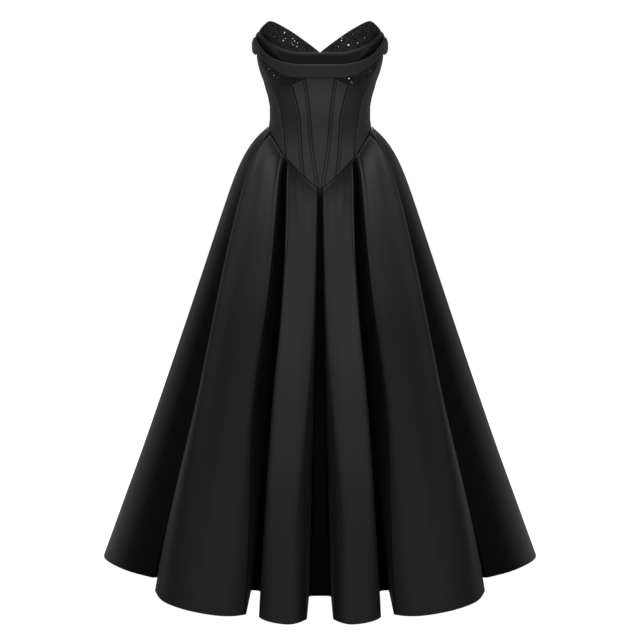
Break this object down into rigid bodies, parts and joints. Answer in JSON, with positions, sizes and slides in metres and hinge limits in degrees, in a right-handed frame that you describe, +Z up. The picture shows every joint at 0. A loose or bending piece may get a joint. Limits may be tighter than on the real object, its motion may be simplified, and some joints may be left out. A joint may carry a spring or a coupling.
{
  "type": "strapless corset ball gown",
  "caption": "Strapless corset gown with beaded cups, a draped neckline, a boned bodice with a V-pointed waist and a full floor-length skirt in inverted pleats.",
  "frame": {"origin": "centre of the waist, at its narrowest, on the wearer's axis", "axes": "+Z up the body, -Y to the front, +X to the wearer's left"},
  "size_m": [1.0538, 1.0529, 1.2822],
  "materials": {
    "satin": "heavy black satin with a soft sheen",
    "beaded_lace": "black lace set with beads and sequins",
    "zip_metal": "gloss black enamel"
  },
  "bodies": {
    "gown": {"bodice_centre_front": "satin", "bodice_front_left": "satin", "bodice_front_right": "satin", "bodice_side_front_left": "satin", "bodice_side_front_right": "satin", "bodice_side_left": "satin", "bodice_side_right": "satin", "bodice_side_back_left": "satin", "bodice_side_back_right": "satin", "bodice_back_left": "satin", "bodice_back_right": "satin", "cup_left": "beaded_lace", "cup_right": "beaded_lace", "bone_channel_inner_left": "satin", "bone_channel_inner_right": "satin", "bone_channel_outer_left": "satin", "bone_channel_outer_right": "satin", "drape_upper": "satin", "drape_lower": "satin", "skirt_front_left": "satin", "skirt_front_right": "satin", "skirt_side_front_left": "satin", "skirt_side_front_right": "satin", "skirt_side_left": "satin", "skirt_side_right": "satin", "skirt_side_back_left": "satin", "skirt_side_back_right": "satin", "skirt_back_left": "satin", "skirt_back_right": "satin", "zip_slider": "zip_metal"},
    "zip_pull": {"zip_pull": "zip_metal"}
  },
  "joints": [
    {"name": "zip_pull_swing", "type": "hinge", "parent": "gown", "child": "zip_pull", "pos_m": [0, 0.10393, 0.116], "axis": [1, 0, 0], "range_deg": [0, 150]}
  ]
}
